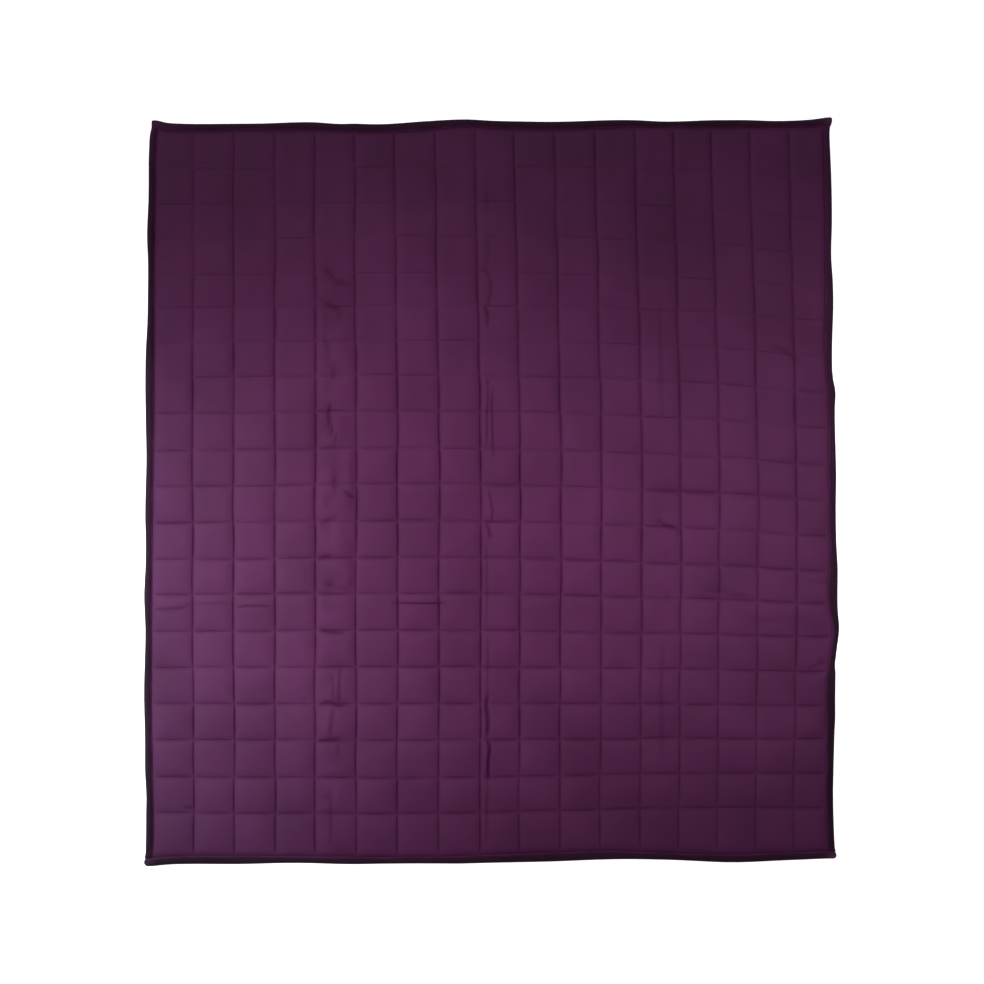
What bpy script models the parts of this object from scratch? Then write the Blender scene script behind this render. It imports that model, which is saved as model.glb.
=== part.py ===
"""Square-quilted throw blanket, lying flat and face up, with a bound edge.

The quilt is one filled body. Its face rises in 17 columns and 20 rows of pockets between sewn
channels, its underside is flat, and a thin flange runs all round it. Four strips of darker
binding fold round that flange, one on each side. The top and bottom strips run through to the
corners and end there in small pointed ears.

Metres, +Z up. The underside lies on z = 0, the origin is under the middle of the blanket, and
the side towards +Y is called the top.
"""

import bmesh
import bpy
import numpy as np

# Driving dimensions, in metres
COLUMN_WIDTHS = (
    0.0825, 0.084, 0.085, 0.082, 0.0845, 0.085, 0.086, 0.085, 0.081,
    0.084, 0.0835, 0.082, 0.0805, 0.079, 0.0795, 0.079, 0.066,
)  # fmt: skip
ROW_HEIGHTS = (
    0.081, 0.074, 0.071, 0.074, 0.067, 0.072, 0.072, 0.073, 0.0765, 0.0735,
    0.075, 0.0745, 0.0725, 0.075, 0.0745, 0.0745, 0.074, 0.0755, 0.0735, 0.091,
)  # fmt: skip
SEAM_THICK = 0.0035  # all layers, pressed together by the stitching
SHOULDER_RISE = 0.0042  # pocket's shoulder above the seam
CROWN_RISE = 0.0066  # pocket's middle above the seam
SHOULDER_SHARE = 0.18  # of the pocket's width, from the seam to the shoulder
FILL_SPREAD = 0.16  # how much fuller or flatter a pocket is than the mean one

BINDING_WIDTH = 0.0145
BINDING_THICK = 0.001
BINDING_HIGH = 0.0068  # top of the rolled strip
FLANGE_WIDTH = 0.011
FLANGE_UNDER = 0.0013  # height of the flange's underside
EAR_HIGH = 0.0018  # height of an ear's tip
GAP = 0.0003  # between pieces

# Outer line of each side as it lies: a place along the side, and where the line is there
LEFT_LINE = {
    "y": (-0.76, -0.68, -0.59, -0.44, -0.34, -0.20, 0.00, 0.15, 0.47, 0.64, 0.70, 0.74, 0.76),
    "x": (-0.7085, -0.7070, -0.7088, -0.7113, -0.7110, -0.7105, -0.7085,
          -0.7065, -0.7055, -0.7035, -0.7025, -0.6990, -0.6920),
}  # fmt: skip
RIGHT_LINE = {
    "y": (-0.76, -0.68, -0.53, -0.37, -0.325, -0.285, -0.23, -0.12, 0.04, 0.21, 0.28, 0.41, 0.64, 0.76),
    "x": (0.7035, 0.7010, 0.7020, 0.7035, 0.7105, 0.7145, 0.7065,
          0.7085, 0.7070, 0.7045, 0.6985, 0.7000, 0.6975, 0.6945),
}  # fmt: skip
TOP_LINE = {
    "x": (-0.71, -0.67, -0.50, -0.37, -0.24, -0.13, -0.05, 0.01, 0.11, 0.30, 0.45, 0.59, 0.71),
    "y": (0.7570, 0.7545, 0.7545, 0.7550, 0.7515, 0.7550, 0.7625,
          0.7590, 0.7560, 0.7610, 0.7600, 0.7605, 0.7630),
}  # fmt: skip
BOTTOM_LINE = {
    "x": (-0.71, -0.65, -0.40, -0.19, -0.08, 0.00, 0.12, 0.26, 0.35, 0.49, 0.62, 0.71),
    "y": (-0.7655, -0.7630, -0.7630, -0.7645, -0.7630, -0.7595,
          -0.7555, -0.7520, -0.7555, -0.7590, -0.7550, -0.7520),
}  # fmt: skip

# Lines that the seams inside are spaced between, along the binding's inner edges but without
# their waves
EVEN_LEFT = {"y": (-0.66, 0.00, 0.72), "x": (-0.693, -0.695, -0.687)}
EVEN_RIGHT = {"y": (-0.66, 0.00, 0.72), "x": (0.686, 0.692, 0.681)}
EVEN_TOP = 0.743
EVEN_BOTTOM = -0.7505

# How far the columns lie left of their even places at the top, which fades out by mid height
LEAN = {
    "column": (0, 1, 4, 8, 12, 16, 17),
    "shift": (0.000, 0.004, 0.004, 0.0105, 0.009, 0.006, 0.000),
}
LEAN_END_ROW = 9

# How far the rows sag near the right side, and how far the lowest rows rise on the right half:
# a depth for each row, and a share of it for each column
SAG_DEPTH = {
    "row": (0, 1, 5, 9, 12, 14, 16, 17, 20),
    "depth": (0.000, 0.0185, 0.0225, 0.0225, 0.0165, 0.007, 0.004, 0.000, 0.000),
}
SAG_SHARE = {
    "column": (0, 12, 14.4, 16.5, 17),
    "share": (0.00, 0.00, 0.35, 1.00, 1.00),
}
RISE_DEPTH = {
    "row": (0, 16, 17, 18, 19, 20),
    "depth": (0.000, 0.000, 0.003, 0.006, 0.009, 0.010),
}
RISE_SHARE = {
    "column": (0, 8, 10, 12.3, 17),
    "share": (0.00, 0.00, 0.50, 1.00, 1.00),
}

# Tip of each corner's ear, from where the outer lines cross, counted away from the middle
EARS = {
    ("top", "left"): (-0.0010, 0.0070),
    ("top", "right"): (0.0018, 0.0060),
    ("bottom", "left"): (0.0060, 0.0025),
    ("bottom", "right"): (0.0062, 0.0004),
}

QUILT_PURPLE = (0.080, 0.021, 0.070)  # linear
BINDING_PURPLE = (0.027, 0.010, 0.022)

COLUMNS = len(COLUMN_WIDTHS)
ROWS = len(ROW_HEIGHTS)
LINES_PER_POCKET = 3  # grid lines of the face: a seam and two shoulders
LAST_I = COLUMNS * LINES_PER_POCKET
LAST_J = ROWS * LINES_PER_POCKET
SHARP_FROM = np.radians(50)  # edges between faces that turn more than this are shaded sharp
OUTSIDE_POINTS = 10  # of the binding's section, before those in its groove


def smooth_curve(along, value, at):
    """Value at a place on the cubics through a table's points, whose slopes come from neighbours."""
    along = np.array(along, float)
    value = np.array(value, float)
    slope = np.gradient(value, along)
    at = np.clip(at, along[0], along[-1])
    k = np.clip(np.searchsorted(along, at) - 1, 0, len(along) - 2)
    width = along[k + 1] - along[k]
    t = (at - along[k]) / width
    first = (1 + 2 * t) * (1 - t) ** 2 * value[k] + t * (1 - t) ** 2 * width * slope[k]
    second = t * t * (3 - 2 * t) * value[k + 1] - t * t * (1 - t) * width * slope[k + 1]
    return first + second


def share_across(sizes, at):
    """Share of the whole width (or height) at a place counted in columns (or rows)."""
    ends = np.concatenate([[0.0], np.cumsum(sizes)])
    return np.interp(at, np.arange(len(ends)), ends / ends[-1])


def table_value(table, at):
    """Value of a two-column table at a place in its first column."""
    along, value = table.values()
    return smooth_curve(along, value, at)


def seam_crossing(column, row):
    """(x, y) where a column's seam crosses a row's seam; the first and last are the bound edge."""
    across = share_across(COLUMN_WIDTHS, column)
    down = share_across(ROW_HEIGHTS, row)
    even_y = EVEN_TOP + down * (EVEN_BOTTOM - EVEN_TOP)
    left = table_value(EVEN_LEFT, even_y)
    right = table_value(EVEN_RIGHT, even_y)
    lean = table_value(LEAN, column) * max(1 - row / LEAN_END_ROW, 0)
    sag = table_value(SAG_DEPTH, row) * table_value(SAG_SHARE, column)
    rise = table_value(RISE_DEPTH, row) * table_value(RISE_SHARE, column)
    x = left + across * (right - left) - lean
    y = even_y - sag + rise
    if column == 0:
        x = table_value(LEFT_LINE, y) + BINDING_WIDTH
    if column == COLUMNS:
        x = table_value(RIGHT_LINE, y) - BINDING_WIDTH
    if row == 0:
        y = table_value(TOP_LINE, x) - BINDING_WIDTH
    if row == ROWS:
        y = table_value(BOTTOM_LINE, x) + BINDING_WIDTH
    return np.array([x, y])


def grid_place(line):
    """Pocket number of a grid line, and how far across that pocket it lies."""
    pocket, part = divmod(line, LINES_PER_POCKET)
    return pocket, (0, SHOULDER_SHARE, 1 - SHOULDER_SHARE)[part]


def grid_point(i, j):
    """(x, y) where grid lines i and j cross, blended straight between the pocket's corners."""
    column, s = grid_place(i)
    row, t = grid_place(j)
    next_column = min(column + 1, COLUMNS)
    next_row = min(row + 1, ROWS)
    upper = (1 - s) * seam_crossing(column, row) + s * seam_crossing(next_column, row)
    lower = (1 - s) * seam_crossing(column, next_row) + s * seam_crossing(next_column, next_row)
    return (1 - t) * upper + t * lower


def fill_of(column, row):
    """How full a pocket is, 1 in the mean: the filling is never quite even."""
    return 1 + FILL_SPREAD * np.sin(2.1 * column + 0.7 * row) * np.cos(1.3 * row - 0.5 * column)


def cloth_material(name, colour, roughness):
    """Satiny cloth in one colour."""
    material = bpy.data.materials.new(name)
    material.use_nodes = True
    shader = material.node_tree.nodes["Principled BSDF"]
    shader.inputs["Base Color"].default_value = (*colour, 1)
    shader.inputs["Roughness"].default_value = roughness
    shader.inputs["Metallic"].default_value = 0
    return material


def add_object(name, bm, material):
    """Puts a finished bmesh in the scene as one object."""
    bmesh.ops.recalc_face_normals(bm, faces=bm.faces)
    mesh = bpy.data.meshes.new(name)
    bm.to_mesh(mesh)
    bm.free()
    mesh.materials.append(material)
    mesh.shade_smooth()
    mesh.set_sharp_from_angle(angle=SHARP_FROM)
    obj = bpy.data.objects.new(name, mesh)
    bpy.context.scene.collection.objects.link(obj)
    return obj


def join_rings(bm, first, second):
    """Faces between two closed rings of as many places, where a vertex may fill several places."""
    for k in range(len(first)):
        n = (k + 1) % len(first)
        corners = tuple(dict.fromkeys((first[k], first[n], second[n], second[k])))
        if len(corners) > 2:
            bm.faces.new(corners)


def quilted_face(bm):
    """The raised face: each pocket has eight quads round its middle, which is poked to a crown."""
    verts = {}
    for j in range(LAST_J + 1):
        for i in range(LAST_I + 1):
            x, y = grid_point(i, j)
            on_seam = i % LINES_PER_POCKET == 0 or j % LINES_PER_POCKET == 0
            fill = fill_of(i // LINES_PER_POCKET, j // LINES_PER_POCKET)
            rise = 0 if on_seam else SHOULDER_RISE * fill
            verts[i, j] = bm.verts.new((x, y, SEAM_THICK + rise))
    middles = []
    for j in range(LAST_J):
        for i in range(LAST_I):
            corners = (verts[i, j], verts[i + 1, j], verts[i + 1, j + 1], verts[i, j + 1])
            face = bm.faces.new(corners)
            if i % LINES_PER_POCKET == 1 and j % LINES_PER_POCKET == 1:
                middles.append((face, fill_of(i // LINES_PER_POCKET, j // LINES_PER_POCKET)))
    for face, fill in middles:
        crown = bmesh.ops.poke(bm, faces=[face])["verts"][0]
        crown.co.z = SEAM_THICK + CROWN_RISE * fill
    return verts


def rim_places():
    """Grid places round the rim, clockwise from the top left, each with a way out.

    A corner comes three times: square to one side, diagonally, and square to the next side.
    """
    along_i = range(LAST_I + 1)
    along_j = range(LAST_J + 1)
    top = [((i, 0), (0, 1)) for i in along_i]
    right = [((LAST_I, j), (1, 0)) for j in along_j]
    bottom = [((i, LAST_J), (0, -1)) for i in reversed(along_i)]
    left = [((0, j), (-1, 0)) for j in reversed(along_j)]
    rim = top + [((LAST_I, 0), (1, 1))] + right + [((LAST_I, LAST_J), (1, -1))]
    return rim + bottom + [((0, LAST_J), (-1, -1))] + left + [((0, 0), (-1, 1))]


def rim_ring(bm, out, height):
    """One ring of vertices at a distance out from the rim, which share their corners if out is 0."""
    made = {}
    ring = []
    for place, way in rim_places():
        key = (place, way if out else None)
        if key not in made:
            x, y = grid_point(*place) + out * np.array(way)
            made[key] = bm.verts.new((x, y, height))
        ring.append(made[key])
    return ring


def close_underside(bm, verts):
    """Flat underside: long strips from top to bottom, and fans to the left and right sides."""
    for i in range(1, LAST_I - 1):
        strip = (verts[i, 0], verts[i + 1, 0], verts[i + 1, LAST_J], verts[i, LAST_J])
        bm.faces.new(strip)
    middle = LAST_J // 2
    for side, inner in ((0, 1), (LAST_I, LAST_I - 1)):
        for j in range(LAST_J):
            pivot = verts[inner, 0] if j < middle else verts[inner, LAST_J]
            bm.faces.new((verts[side, j], verts[side, j + 1], pivot))
        bm.faces.new((verts[side, middle], verts[inner, 0], verts[inner, LAST_J]))


def build_quilted_body(material):
    """Filled, quilted body: the face, a thin flange stepped out round it, and a flat underside."""
    bm = bmesh.new()
    face = quilted_face(bm)
    places = [place for place, way in rim_places()]
    rings = [[face[place] for place in places]]
    rings.append(rim_ring(bm, FLANGE_WIDTH, SEAM_THICK))
    rings.append(rim_ring(bm, FLANGE_WIDTH, FLANGE_UNDER))
    rings.append(rim_ring(bm, 0, FLANGE_UNDER))
    rings.append(rim_ring(bm, 0, 0))
    for upper, lower in zip(rings, rings[1:]):
        join_rings(bm, upper, lower)
    close_underside(bm, dict(zip(places, rings[-1])))
    return add_object("quilted_body", bm, material)


def binding_section():
    """(out, height) points of the folded strip: ten round its outside, then two in its groove."""
    groove_top = SEAM_THICK + GAP
    groove_end = FLANGE_WIDTH + GAP
    return (
        (GAP, groove_top),
        (GAP, groove_top + BINDING_THICK),
        (0.35 * BINDING_WIDTH, 0.94 * BINDING_HIGH),
        (0.66 * BINDING_WIDTH, BINDING_HIGH),
        (0.88 * BINDING_WIDTH, 0.80 * BINDING_HIGH),
        (BINDING_WIDTH, 0.50 * BINDING_HIGH),
        (0.95 * BINDING_WIDTH, 0.18 * BINDING_HIGH),
        (0.82 * BINDING_WIDTH, 0),
        (GAP, 0),
        (GAP, BINDING_THICK),
        (groove_end, BINDING_THICK),
        (groove_end, groove_top),
    )


def section_ring(bm, at, outward):
    """One ring of the strip's section, standing at a path point."""
    ring = []
    for out, height in binding_section():
        x, y = at + out * outward
        ring.append(bm.verts.new((x, y, height)))
    return ring


def add_ear(bm, ring, corner, end, outward, tip_out):
    """Closes a strip's end: a wall at the end of its groove, then a cone to the ear's tip."""
    outside = ring[:OUTSIDE_POINTS]
    bm.faces.new((outside[0], outside[-1], ring[-2], ring[-1]))
    out_x, out_y = tip_out
    x, y = corner + (BINDING_WIDTH + out_x) * end + (BINDING_WIDTH + out_y) * outward
    tip = bm.verts.new((x, y, EAR_HIGH))
    for k in range(OUTSIDE_POINTS):
        bm.faces.new((outside[k], outside[(k + 1) % OUTSIDE_POINTS], tip))


def build_through_binding(side, material):
    """Top or bottom strip, folded round the flange from corner to corner, with an ear at each end."""
    bm = bmesh.new()
    row, outward = (0, np.array([0, 1])) if side == "top" else (ROWS, np.array([0, -1]))
    left = seam_crossing(0, row)
    right = seam_crossing(COLUMNS, row)
    reach = np.array([FLANGE_WIDTH + GAP, 0])
    path = [left - reach]
    path += [seam_crossing(column, row) for column in range(COLUMNS + 1)]
    path += [right + reach]
    rings = [section_ring(bm, at, outward) for at in path]
    for first, second in zip(rings, rings[1:]):
        join_rings(bm, first, second)
    add_ear(bm, rings[0], left, np.array([-1, 0]), outward, EARS[side, "left"])
    add_ear(bm, rings[-1], right, np.array([1, 0]), outward, EARS[side, "right"])
    return add_object("binding_" + side, bm, material)


def build_side_binding(side, material):
    """Left or right strip, folded round the flange and butted between the other two strips."""
    bm = bmesh.new()
    column, outward = (0, np.array([-1, 0])) if side == "left" else (COLUMNS, np.array([1, 0]))
    rings = [section_ring(bm, seam_crossing(column, row), outward) for row in range(ROWS + 1)]
    for first, second in zip(rings, rings[1:]):
        join_rings(bm, first, second)
    bm.faces.new(rings[0])
    bm.faces.new(rings[-1])
    return add_object("binding_" + side, bm, material)


def centre_over_origin(objects):
    """Moves every piece by the same amount, so that the whole box is centred on x = y = 0."""
    points = np.array([vert.co for obj in objects for vert in obj.data.vertices])
    middle = (points.min(axis=0) + points.max(axis=0)) / 2
    for obj in objects:
        for vert in obj.data.vertices:
            vert.co.x -= middle[0]
            vert.co.y -= middle[1]


def main():
    for obj in list(bpy.data.objects):
        bpy.data.objects.remove(obj)
    quilt_cloth = cloth_material("quilt_cloth", QUILT_PURPLE, 0.5)
    binding_cloth = cloth_material("binding_cloth", BINDING_PURPLE, 0.6)
    pieces = [build_quilted_body(quilt_cloth)]
    pieces += [build_through_binding(side, binding_cloth) for side in ("top", "bottom")]
    pieces += [build_side_binding(side, binding_cloth) for side in ("left", "right")]
    centre_over_origin(pieces)


main()
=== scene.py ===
"""Looks of a square-quilted satin throw blanket with a darker bound edge, laid flat, face up.

The quilt is one closed, filled piece: a fine grid of pockets between sunk seams, with packing
creases, small tucks and a crumpled stretch. Four rolled binding strips close its rim, and the
sewing thread lies in the seams. Metres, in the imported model's frame; the tables give places
before the whole blanket is centred on the origin, as in its solids.
"""

import bmesh
import bpy
import numpy as np
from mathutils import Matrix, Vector


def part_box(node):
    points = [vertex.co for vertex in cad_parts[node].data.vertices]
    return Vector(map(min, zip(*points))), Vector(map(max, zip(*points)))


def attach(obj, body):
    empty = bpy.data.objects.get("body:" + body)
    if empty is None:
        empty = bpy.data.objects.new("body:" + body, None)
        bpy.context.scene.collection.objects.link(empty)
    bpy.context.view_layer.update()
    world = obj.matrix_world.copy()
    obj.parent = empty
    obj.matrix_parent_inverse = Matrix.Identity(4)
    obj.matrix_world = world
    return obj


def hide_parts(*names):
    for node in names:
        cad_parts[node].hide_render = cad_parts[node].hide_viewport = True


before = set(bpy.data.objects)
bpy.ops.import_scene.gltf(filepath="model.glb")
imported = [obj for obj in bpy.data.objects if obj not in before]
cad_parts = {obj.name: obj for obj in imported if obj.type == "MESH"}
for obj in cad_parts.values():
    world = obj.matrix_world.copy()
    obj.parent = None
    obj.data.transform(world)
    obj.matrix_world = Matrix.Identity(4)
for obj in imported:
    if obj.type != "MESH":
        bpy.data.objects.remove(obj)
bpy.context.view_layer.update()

MM = 0.001

# Sewn grid and outline, as in the solids
COLUMN_WIDTHS = (
    0.0825, 0.084, 0.085, 0.082, 0.0845, 0.085, 0.086, 0.085, 0.081,
    0.084, 0.0835, 0.082, 0.0805, 0.079, 0.0795, 0.079, 0.066,
)
ROW_HEIGHTS = (
    0.081, 0.074, 0.071, 0.074, 0.067, 0.072, 0.072, 0.073, 0.0765, 0.0735,
    0.075, 0.0745, 0.0725, 0.075, 0.0745, 0.0745, 0.074, 0.0755, 0.0735, 0.091,
)
COLUMNS = len(COLUMN_WIDTHS)
ROWS = len(ROW_HEIGHTS)
SEAM_THICK = 0.0035
FLANGE_WIDTH = 0.011
FLANGE_UNDER = 0.0013
BINDING_WIDTH = 0.0145
BINDING_THICK = 0.001
GAP = 0.0003

LEFT_LINE = {
    "y": (-0.76, -0.68, -0.59, -0.44, -0.34, -0.20, 0.00, 0.15, 0.47, 0.64, 0.70, 0.74, 0.76),
    "x": (-0.7085, -0.7070, -0.7088, -0.7113, -0.7110, -0.7105, -0.7085,
          -0.7065, -0.7055, -0.7035, -0.7025, -0.6990, -0.6920),
}
RIGHT_LINE = {
    "y": (-0.76, -0.68, -0.53, -0.37, -0.325, -0.285, -0.23,
          -0.12, 0.04, 0.21, 0.28, 0.41, 0.64, 0.76),
    "x": (0.7035, 0.7010, 0.7020, 0.7035, 0.7105, 0.7145, 0.7065,
          0.7085, 0.7070, 0.7045, 0.6985, 0.7000, 0.6975, 0.6945),
}
TOP_LINE = {
    "x": (-0.71, -0.67, -0.50, -0.37, -0.24, -0.13, -0.05, 0.01, 0.11, 0.30, 0.45, 0.59, 0.71),
    "y": (0.7570, 0.7545, 0.7545, 0.7550, 0.7515, 0.7550, 0.7625,
          0.7590, 0.7560, 0.7610, 0.7600, 0.7605, 0.7630),
}
BOTTOM_LINE = {
    "x": (-0.71, -0.65, -0.40, -0.19, -0.08, 0.00, 0.12, 0.26, 0.35, 0.49, 0.62, 0.71),
    "y": (-0.7655, -0.7630, -0.7630, -0.7645, -0.7630, -0.7595,
          -0.7555, -0.7520, -0.7555, -0.7590, -0.7550, -0.7520),
}
EVEN_LEFT = {"y": (-0.66, 0.00, 0.72), "x": (-0.693, -0.695, -0.687)}
EVEN_RIGHT = {"y": (-0.66, 0.00, 0.72), "x": (0.686, 0.692, 0.681)}
EVEN_TOP = 0.743
EVEN_BOTTOM = -0.7505
LEAN = {
    "column": (0, 1, 4, 8, 12, 16, 17),
    "shift": (0, 0.004, 0.004, 0.0105, 0.009, 0.006, 0),
}
LEAN_END_ROW = 9
SAG_DEPTH = {
    "row": (0, 1, 5, 9, 12, 14, 16, 17, 20),
    "depth": (0, 0.0185, 0.0225, 0.0225, 0.0165, 0.007, 0.004, 0, 0),
}
SAG_SHARE = {
    "column": (0, 12, 14.4, 16.5, 17),
    "share": (0, 0, 0.35, 1, 1),
}
RISE_DEPTH = {
    "row": (0, 16, 17, 18, 19, 20),
    "depth": (0, 0, 0.003, 0.006, 0.009, 0.010),
}
RISE_SHARE = {
    "column": (0, 8, 10, 12.3, 17),
    "share": (0, 0, 0.50, 1, 1),
}
# How far the photographed edge lies outside the solids' edge, in mm, along each side in mm
STRIP_MORE = {
    "top": {
        "x": (-658, -478, -363, -313, -280, -239, -116, -59, 73, 303, 344, 467, 533, 574, 648, 664),
        "more": (2.4, 0.9, 3.3, 1.9, 3.5, 3.1, 5.4, 2.3, 3.2, 1.2, -0.8, 2.9, 2.7, 0.9, 1.4, 2.0),
    },
    "bottom": {
        "x": (-658, -519, -412, -280, -231, -116, -59, 229, 360, 517, 664),
        "more": (2.3, 3.1, -0.1, 1.0, -0.1, 0.0, 1.8, 3.9, 0.5, 2.6, 1.1),
    },
    "left": {
        "y": (-734, -660, -627, -570, -512, -406, -282, -208, -159, -102,
              -61, 71, 145, 284, 350, 391, 473, 523, 605, 720),
        "more": (2.4, 2.5, 1.3, 2.7, 1.6, 2.4, 0.4, 2.8, 0.7, 0.3,
                 1.9, 1.2, 3.5, 4.3, 0.7, -0.1, -0.1, 2.1, 0.7, 0.8),
    },
    "right": {
        "y": (-734, -595, -496, -463, -439, -381, -373, -356, -340, -266, -225, -159, -126,
              -36, 30, 169, 211, 227, 243, 276, 358, 441, 473, 556, 646, 720),
        "more": (2.2, 0.8, 2.8, 5.2, 5.6, 4.1, 3.4, -0.2, -1.2, 0.5, 4.7, 4.0, 0.8,
                 -0.7, 0.8, -1.3, 1.1, -0.9, -1.2, 0.9, 2.8, 0.3, -1.8, 0.3, 0.5, -1.0),
    },
}
# The corners are pulled out into ears. Each has the pull sideways, the height where that is
# greatest and how far it reaches along the side; the pull up or down, the place where that is
# greatest and how far it reaches along the end; the corner itself; and how strong the painted
# highlight on its ear is, with a little rubbing
EARS = {
    ("top", "left"): ((0.0, 752, 10), (5.0, -693, 20), (-699, 756), 0.1),
    ("top", "right"): ((4.5, 760, 14), (4.4, 693, 24), (694, 763), 0.3),
    ("bottom", "left"): ((-5.2, -759, 9), (-2.4, -703, 28), (-709, -764), 0.20),
    ("bottom", "right"): ((5.5, -747, 9), (0.0, 700, 20), (703, -755), 0.6),
}
EAR_DEPTH = 30  # mm, how far into the blanket the corners' pull is felt
EAR_HIGHLIGHT_REACH = 12 * MM  # how far from a corner its painted highlight and rubbing reach
# How dark the binding is along each side, in mm, from 0 as the quilt to 1 as its darkest: partly
# its darker cloth and partly painted shade over the roll
STRIP_DARK_AND_SHADE = {
    "top": ((-715, -650, -600, 0, 500, 720), (0.10, 0.45, 0.66, 0.72, 0.70, 0.60)),
    "bottom": ((-715, -640, -250, 100, 500, 720), (0.84, 0.88, 0.82, 0.74, 0.76, 0.70)),
    "left": ((-760, -700, -300, 0, 450, 660, 740), (0.80, 0.85, 0.84, 0.78, 0.75, 0.70, 0.45)),
    "right": ((-760, -640, -300, -100, 200, 500, 740), (0.70, 0.90, 0.88, 0.80, 0.72, 0.55, 0.45)),
}
# Where across each strip that starts, as a share of its width from the quilt
STRIP_STARTS = {"top": 0.08, "bottom": 0.02, "left": 0.0, "right": 0.0}

# Relief of the face
CROWN_RISE = 0.0066
FILL_SPREAD = 0.16
# Share of a pocket's height that is in the stitched groove, and the groove's reach
COLUMN_GROOVE = (0.22, 1.1 * MM)
ROW_GROOVE = (0.13, 1.4 * MM)
# The higher the power, the flatter a pocket
DOME = {"row": (0, 7, 12, 16, 20), "power": (7.0, 6.0, 4.4, 3.2, 2.6)}
# How deep a seam is sewn: what the faintest has, and what more the plainest has
COLUMN_DEEP = (0.35, 0.65)
ROW_DEEP = (0.05, 0.75)
CROSSING_RISE, CROSSING_REACH = 0.7 * MM, 5 * MM  # the low cushion where two seams cross
PUCKERS, PUCKER_RISE, PUCKER_REACH = 5, 0.18 * MM, 14 * MM  # they leave each crossing as rays
LUMP_RISE, LUMP_WIDTH = 0.55 * MM, 0.034
SEAM_STRAY = (1.5 * MM, 1.2 * MM)  # of the column seams sideways and the row seams up or down
BACK_LIFT, BACK_LIFT_REACH = 0.9 * MM, 5 * MM
# Painted shade in the seams: how dark the cloth's colour is made in a seam, and how far from it;
# how much of that a crossing takes away, and how far from it; and over how much of a pocket it
# starts at the rim
SEAM_SHADE = {"column": (1.0, 1.5 * MM), "row": (0.38, 3.0 * MM), "back": (0.45, 3 * MM)}
CROSSING_FADE = {"column": (0.55, 5 * MM), "row": (0.60, 8 * MM)}
SHADE_START = 0.15
RIM_SHADE = {"top": (0.20, 10 * MM), "bottom": (0.42, 8 * MM)}  # painted shadow beside a strip: how dark, and its reach
# How unevenly a seam shows along its length, and its changes in a pocket's length
UNEVEN = {"column": (0.30, 1.7), "row": (0.5, 1.6)}
# One seed for each kind of soft noise
SEEDS = {"column": 11, "row": 12, "pucker": 13, "lump": 14, "stray_x": 15, "stray_y": 16,
         "crumple": 17, "top": 21, "bottom": 31, "left": 41, "right": 51}
# How plainly the seams show at these rows, by column for the seams between columns
SEAM_ROWS = (0, 2.5, 6, 10, 14, 18, 20)
COLUMN_SEAMS = {
    1: (0.05, 0.08, 0.40, 0.85, 1.00, 0.95, 0.90),
    2: (0.08, 0.22, 0.48, 0.85, 1.00, 0.95, 0.90),
    4: (0.28, 0.34, 0.56, 0.88, 1.00, 0.95, 0.90),
    8: (0.32, 0.38, 0.66, 0.88, 1.00, 0.88, 0.80),
    14: (0.40, 0.42, 0.52, 0.62, 0.68, 0.52, 0.45),
}
ROW_SEAMS = (0.03, 0.05, 0.15, 0.50, 0.76, 1.00, 1.00)
COLUMN_STEPS = (0, 1.0, 2.5, 5, 9.5, 17, 28)  # mm from a column's seam to the grid's lines
ROW_STEPS = (0, 1.0, 2.6, 5.4, 11, 20)  # the same from a row's seam
BACK_COLUMN_STEPS = (0, 5, 17)  # those of them that the back has too
BACK_ROW_STEPS = (0, 5.4, 20)
# A crumpled stretch runs down the face: its middle and half width in columns, its top row and
# the rows over which it grows; then its lumps' width and height, and how dark the painted shade
# in its hollows is
CRUMPLED = (4.45, 0.45, 3.5, 2.5)
CRUMPLE_LUMP, CRUMPLE_HEIGHT, CRUMPLE_SHADE = 0.024, 2.4 * MM, 0.24
# Pockets with thin creases get more lines: from and to as shares of the pocket, and how many.
# The other lines keep clear of them by a share of the pocket
LINES_CLEAR = 0.02
CREASE_COLUMNS = {1: (0.75, 0.95, 3), 3: (0.55, 0.85, 4), 4: (0.10, 0.94, 18), 8: (0.12, 0.42, 11),
                  12: (0.05, 0.92, 10), 15: (0.35, 0.65, 3), 16: (0.3, 0.7, 3)}
CREASE_ROWS = {3: (0.60, 0.92, 4), 4: (0.10, 0.94, 6), 7: (0.7, 0.9, 2), 10: (0.06, 0.94, 18),
               11: (0.1, 0.4, 3), 13: (0.14, 0.40, 8), 16: (0.7, 0.92, 3),
               17: (0.06, 0.4, 4)}


def smooth_curve(along, value, at):
    """Value at a place on the cubics through a table's points, with slopes from neighbours."""
    along = np.array(along, float)
    value = np.array(value, float)
    slope = np.gradient(value, along)
    at = np.clip(at, along[0], along[-1])
    k = np.clip(np.searchsorted(along, at) - 1, 0, len(along) - 2)
    width = along[k + 1] - along[k]
    t = (at - along[k]) / width
    first = (1 + 2 * t) * (1 - t) ** 2 * value[k] + t * (1 - t) ** 2 * width * slope[k]
    second = t * t * (3 - 2 * t) * value[k + 1] - t * t * (1 - t) * width * slope[k + 1]
    return first + second


def table_value(table, at):
    """Value of a two-column table at places in its first column."""
    along, value = table.values()
    return smooth_curve(along, value, at)


def share_across(sizes, at):
    """Share of the whole width (or height) at places counted in columns (or rows)."""
    ends = np.concatenate([[0.0], np.cumsum(sizes)])
    return np.interp(at, np.arange(len(ends)), ends / ends[-1])


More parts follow.
